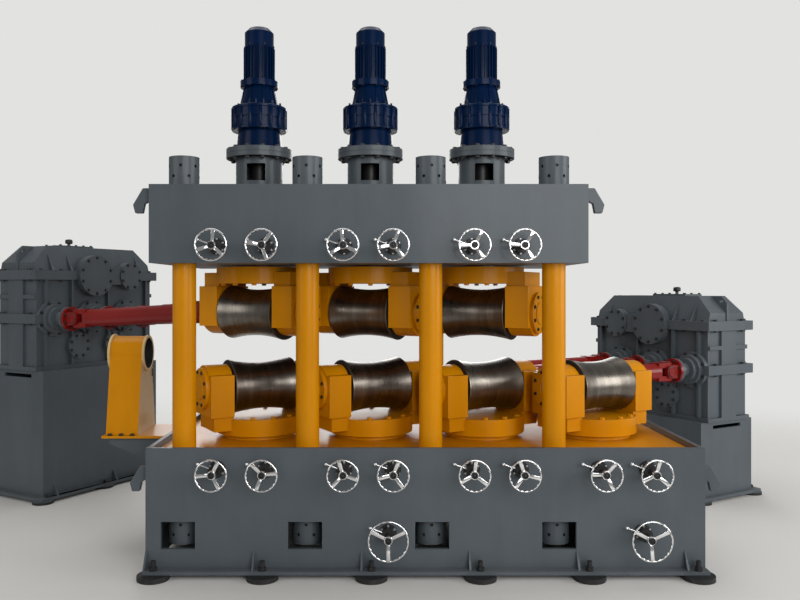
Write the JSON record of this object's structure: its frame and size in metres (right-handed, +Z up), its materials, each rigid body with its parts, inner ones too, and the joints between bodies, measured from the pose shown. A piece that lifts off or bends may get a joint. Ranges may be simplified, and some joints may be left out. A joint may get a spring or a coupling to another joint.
{
  "type": "pipe straightening machine with drives",
  "caption": "Cross-roll pipe straightening machine: skewed waisted rolls in yokes between a base and a column-held beam, screw-down gearmotors, handwheels, gearboxes and cardan shafts.",
  "frame": {"origin": "the floor, under the middle of the whole footprint", "axes": "+X along the pipe, away from the entry guide; +Y from the handwheel side to the drive side; +Z up"},
  "size_m": [6.8165, 3.4008, 3.649],
  "materials": {
    "grey_paint": "satin slate grey",
    "yellow_paint": "gloss amber yellow",
    "blue_paint": "gloss dark blue",
    "red_paint": "satin oxide red",
    "roll_steel": "ground and oiled",
    "ground_steel": "ground",
    "wheel_chrome": "polished",
    "blackened_steel": "matt black"
  },
  "bodies": {
    "machine_frame": {"base_front_plate": "grey_paint", "base_rear_plate": "grey_paint", "base_end_plates": "grey_paint", "base_deck": "yellow_paint", "base_stiffeners": "grey_paint", "levelling_pads": "blackened_steel", "columns": "yellow_paint", "column_nuts": "grey_paint", "top_beam": "grey_paint", "lifting_hooks": "grey_paint", "motor_pedestals": "grey_paint", "screwdown_gearmotors": "blue_paint", "guide_hood": "yellow_paint", "guide_bracket": "grey_paint", "left_gearbox_case": "grey_paint", "left_gearbox_pedestal": "grey_paint", "right_gearbox_case": "grey_paint", "right_gearbox_pedestal": "grey_paint", "handwheel_mounts": "grey_paint"},
    "screwdown_ram_1_body": {"screwdown_ram_1": "ground_steel"},
    "upper_yoke_1_body": {"upper_yoke_1": "yellow_paint"},
    "upper_roll_1_body": {"upper_roll_1": "roll_steel"},
    "left_cardan_1_body": {"left_cardan_1": "red_paint"},
    "screwdown_ram_2_body": {"screwdown_ram_2": "ground_steel"},
    "upper_yoke_2_body": {"upper_yoke_2": "yellow_paint"},
    "upper_roll_2_body": {"upper_roll_2": "roll_steel"},
    "left_cardan_2_body": {"left_cardan_2": "red_paint"},
    "screwdown_ram_3_body": {"screwdown_ram_3": "ground_steel"},
    "upper_yoke_3_body": {"upper_yoke_3": "yellow_paint"},
    "upper_roll_3_body": {"upper_roll_3": "roll_steel"},
    "left_cardan_3_body": {"left_cardan_3": "red_paint"},
    "lower_yoke_1_body": {"lower_yoke_1": "yellow_paint"},
    "lower_roll_1_body": {"lower_roll_1": "roll_steel"},
    "right_cardan_1_body": {"right_cardan_1": "red_paint"},
    "lower_yoke_2_body": {"lower_yoke_2": "yellow_paint"},
    "lower_roll_2_body": {"lower_roll_2": "roll_steel"},
    "right_cardan_2_body": {"right_cardan_2": "red_paint"},
    "lower_yoke_3_body": {"lower_yoke_3": "yellow_paint"},
    "lower_roll_3_body": {"lower_roll_3": "roll_steel"},
    "right_cardan_3_body": {"right_cardan_3": "red_paint"},
    "lower_yoke_4_body": {"lower_yoke_4": "yellow_paint"},
    "lower_roll_4_body": {"lower_roll_4": "roll_steel"},
    "beam_handwheel_1a_body": {"beam_handwheel_1a": "wheel_chrome"},
    "beam_handwheel_1b_body": {"beam_handwheel_1b": "wheel_chrome"},
    "beam_handwheel_2a_body": {"beam_handwheel_2a": "wheel_chrome"},
    "beam_handwheel_2b_body": {"beam_handwheel_2b": "wheel_chrome"},
    "beam_handwheel_3a_body": {"beam_handwheel_3a": "wheel_chrome"},
    "beam_handwheel_3b_body": {"beam_handwheel_3b": "wheel_chrome"},
    "base_handwheel_1a_body": {"base_handwheel_1a": "wheel_chrome"},
    "base_handwheel_1b_body": {"base_handwheel_1b": "wheel_chrome"},
    "base_handwheel_2a_body": {"base_handwheel_2a": "wheel_chrome"},
    "base_handwheel_2b_body": {"base_handwheel_2b": "wheel_chrome"},
    "base_handwheel_3a_body": {"base_handwheel_3a": "wheel_chrome"},
    "base_handwheel_3b_body": {"base_handwheel_3b": "wheel_chrome"},
    "base_handwheel_4a_body": {"base_handwheel_4a": "wheel_chrome"},
    "base_handwheel_4b_body": {"base_handwheel_4b": "wheel_chrome"},
    "lift_handwheel_2_body": {"lift_handwheel_2": "wheel_chrome"},
    "lift_handwheel_4_body": {"lift_handwheel_4": "wheel_chrome"}
  },
  "joints": [
    {"name": "screwdown_1", "type": "slide", "parent": "machine_frame", "child": "screwdown_ram_1_body", "axis": [0, 0, 1], "range_m": [-0.08, 0]},
    {"name": "upper_angle_1", "type": "hinge", "parent": "screwdown_ram_1_body", "child": "upper_yoke_1_body", "pos_m": [-0.79283, -0.77889, 1.625], "axis": [0, 0, 1], "range_deg": [-2, 2]},
    {"name": "upper_spin_1", "type": "hinge", "parent": "upper_yoke_1_body", "child": "upper_roll_1_body", "pos_m": [-0.79283, -0.77889, 1.625], "axis": [-0.866, 0.5, 0], "continuous": true},
    {"name": "screwdown_2", "type": "slide", "parent": "machine_frame", "child": "screwdown_ram_2_body", "axis": [0, 0, 1], "range_m": [-0.08, 0]},
    {"name": "upper_angle_2", "type": "hinge", "parent": "screwdown_ram_2_body", "child": "upper_yoke_2_body", "pos_m": [0.00216, -0.77889, 1.625], "axis": [0, 0, 1], "range_deg": [-2, 2]},
    {"name": "upper_spin_2", "type": "hinge", "parent": "upper_yoke_2_body", "child": "upper_roll_2_body", "pos_m": [0.00216, -0.77889, 1.625], "axis": [-0.866, 0.5, 0], "continuous": true},
    {"name": "screwdown_3", "type": "slide", "parent": "machine_frame", "child": "screwdown_ram_3_body", "axis": [0, 0, 1], "range_m": [-0.08, 0]},
    {"name": "upper_angle_3", "type": "hinge", "parent": "screwdown_ram_3_body", "child": "upper_yoke_3_body", "pos_m": [0.79717, -0.77889, 1.625], "axis": [0, 0, 1], "range_deg": [-2, 2]},
    {"name": "upper_spin_3", "type": "hinge", "parent": "upper_yoke_3_body", "child": "upper_roll_3_body", "pos_m": [0.79717, -0.77889, 1.625], "axis": [-0.866, 0.5, 0], "continuous": true},
    {"name": "lower_angle_1", "type": "hinge", "parent": "machine_frame", "child": "lower_yoke_1_body", "pos_m": [-0.79283, -0.77889, 1.106], "axis": [0, 0, 1], "range_deg": [-2, 2]},
    {"name": "lower_spin_1", "type": "hinge", "parent": "lower_yoke_1_body", "child": "lower_roll_1_body", "pos_m": [-0.79283, -0.77889, 1.106], "axis": [0.866, 0.5, 0], "continuous": true},
    {"name": "lower_angle_2", "type": "hinge", "parent": "machine_frame", "child": "lower_yoke_2_body", "pos_m": [0.00216, -0.77889, 1.106], "axis": [0, 0, 1], "range_deg": [-2, 2]},
    {"name": "lower_spin_2", "type": "hinge", "parent": "lower_yoke_2_body", "child": "lower_roll_2_body", "pos_m": [0.00216, -0.77889, 1.106], "axis": [0.866, 0.5, 0], "continuous": true},
    {"name": "lower_angle_3", "type": "hinge", "parent": "machine_frame", "child": "lower_yoke_3_body", "pos_m": [0.79717, -0.77889, 1.106], "axis": [0, 0, 1], "range_deg": [-2, 2]},
    {"name": "lower_spin_3", "type": "hinge", "parent": "lower_yoke_3_body", "child": "lower_roll_3_body", "pos_m": [0.79717, -0.77889, 1.106], "axis": [0.866, 0.5, 0], "continuous": true},
    {"name": "lower_angle_4", "type": "hinge", "parent": "machine_frame", "child": "lower_yoke_4_body", "pos_m": [1.59217, -0.77889, 1.106], "axis": [0, 0, 1], "range_deg": [-2, 2]},
    {"name": "lower_spin_4", "type": "hinge", "parent": "lower_yoke_4_body", "child": "lower_roll_4_body", "pos_m": [1.59217, -0.77889, 1.106], "axis": [0.866, 0.5, 0], "continuous": true},
    {"name": "left_cardan_spin_1", "type": "hinge", "parent": "machine_frame", "child": "left_cardan_1_body", "pos_m": [-1.21199, -0.53689, 1.625], "axis": [-0.8647, 0.4992, -0.0556], "continuous": true},
    {"name": "right_cardan_spin_1", "type": "hinge", "parent": "machine_frame", "child": "right_cardan_1_body", "pos_m": [-0.37368, -0.53689, 1.106], "axis": [0.866, 0.5, 0], "continuous": true},
    {"name": "left_cardan_spin_2", "type": "hinge", "parent": "machine_frame", "child": "left_cardan_2_body", "pos_m": [-0.41699, -0.53689, 1.625], "axis": [-0.8654, 0.4996, -0.0383], "continuous": true},
    {"name": "right_cardan_spin_2", "type": "hinge", "parent": "machine_frame", "child": "right_cardan_2_body", "pos_m": [0.42132, -0.53689, 1.106], "axis": [0.866, 0.5, 0], "continuous": true},
    {"name": "left_cardan_spin_3", "type": "hinge", "parent": "machine_frame", "child": "left_cardan_3_body", "pos_m": [0.37801, -0.53689, 1.625], "axis": [-0.8657, 0.4998, -0.0293], "continuous": true},
    {"name": "right_cardan_spin_3", "type": "hinge", "parent": "machine_frame", "child": "right_cardan_3_body", "pos_m": [1.21632, -0.53689, 1.106], "axis": [0.866, 0.5, 0], "continuous": true},
    {"name": "beam_handwheel_1a_turn", "type": "hinge", "parent": "machine_frame", "child": "beam_handwheel_1a_body", "pos_m": [-0.94483, -1.64989, 2.058], "axis": [0, 1, 0], "continuous": true},
    {"name": "beam_handwheel_1b_turn", "type": "hinge", "parent": "machine_frame", "child": "beam_handwheel_1b_body", "pos_m": [-0.64084, -1.64989, 2.058], "axis": [0, 1, 0], "continuous": true},
    {"name": "beam_handwheel_2a_turn", "type": "hinge", "parent": "machine_frame", "child": "beam_handwheel_2a_body", "pos_m": [-0.14983, -1.64989, 2.058], "axis": [0, 1, 0], "continuous": true},
    {"name": "beam_handwheel_2b_turn", "type": "hinge", "parent": "machine_frame", "child": "beam_handwheel_2b_body", "pos_m": [0.15416, -1.64989, 2.058], "axis": [0, 1, 0], "continuous": true},
    {"name": "beam_handwheel_3a_turn", "type": "hinge", "parent": "machine_frame", "child": "beam_handwheel_3a_body", "pos_m": [0.64516, -1.64989, 2.058], "axis": [0, 1, 0], "continuous": true},
    {"name": "beam_handwheel_3b_turn", "type": "hinge", "parent": "machine_frame", "child": "beam_handwheel_3b_body", "pos_m": [0.94917, -1.64989, 2.058], "axis": [0, 1, 0], "continuous": true},
    {"name": "base_handwheel_1a_turn", "type": "hinge", "parent": "machine_frame", "child": "base_handwheel_1a_body", "pos_m": [-0.94483, -1.64989, 0.667], "axis": [0, 1, 0], "continuous": true},
    {"name": "base_handwheel_1b_turn", "type": "hinge", "parent": "machine_frame", "child": "base_handwheel_1b_body", "pos_m": [-0.64084, -1.64989, 0.667], "axis": [0, 1, 0], "continuous": true},
    {"name": "base_handwheel_2a_turn", "type": "hinge", "parent": "machine_frame", "child": "base_handwheel_2a_body", "pos_m": [-0.14983, -1.64989, 0.667], "axis": [0, 1, 0], "continuous": true},
    {"name": "base_handwheel_2b_turn", "type": "hinge", "parent": "machine_frame", "child": "base_handwheel_2b_body", "pos_m": [0.15416, -1.64989, 0.667], "axis": [0, 1, 0], "continuous": true},
    {"name": "base_handwheel_3a_turn", "type": "hinge", "parent": "machine_frame", "child": "base_handwheel_3a_body", "pos_m": [0.64516, -1.64989, 0.667], "axis": [0, 1, 0], "continuous": true},
    {"name": "base_handwheel_3b_turn", "type": "hinge", "parent": "machine_frame", "child": "base_handwheel_3b_body", "pos_m": [0.94917, -1.64989, 0.667], "axis": [0, 1, 0], "continuous": true},
    {"name": "base_handwheel_4a_turn", "type": "hinge", "parent": "machine_frame", "child": "base_handwheel_4a_body", "pos_m": [1.44016, -1.64989, 0.667], "axis": [0, 1, 0], "continuous": true},
    {"name": "base_handwheel_4b_turn", "type": "hinge", "parent": "machine_frame", "child": "base_handwheel_4b_body", "pos_m": [1.74416, -1.64989, 0.667], "axis": [0, 1, 0], "continuous": true},
    {"name": "lift_handwheel_2_turn", "type": "hinge", "parent": "machine_frame", "child": "lift_handwheel_2_body", "pos_m": [0.12416, -1.64989, 0.272], "axis": [0, 1, 0], "continuous": true},
    {"name": "lift_handwheel_4_turn", "type": "hinge", "parent": "machine_frame", "child": "lift_handwheel_4_body", "pos_m": [1.71416, -1.64989, 0.272], "axis": [0, 1, 0], "continuous": true}
  ],
  "couplings": [
    {"joint": "left_cardan_spin_1", "follows": "upper_spin_1", "ratio": 1},
    {"joint": "right_cardan_spin_1", "follows": "lower_spin_1", "ratio": 1},
    {"joint": "left_cardan_spin_2", "follows": "upper_spin_2", "ratio": 1},
    {"joint": "right_cardan_spin_2", "follows": "lower_spin_2", "ratio": 1},
    {"joint": "left_cardan_spin_3", "follows": "upper_spin_3", "ratio": 1},
    {"joint": "right_cardan_spin_3", "follows": "lower_spin_3", "ratio": 1}
  ]
}
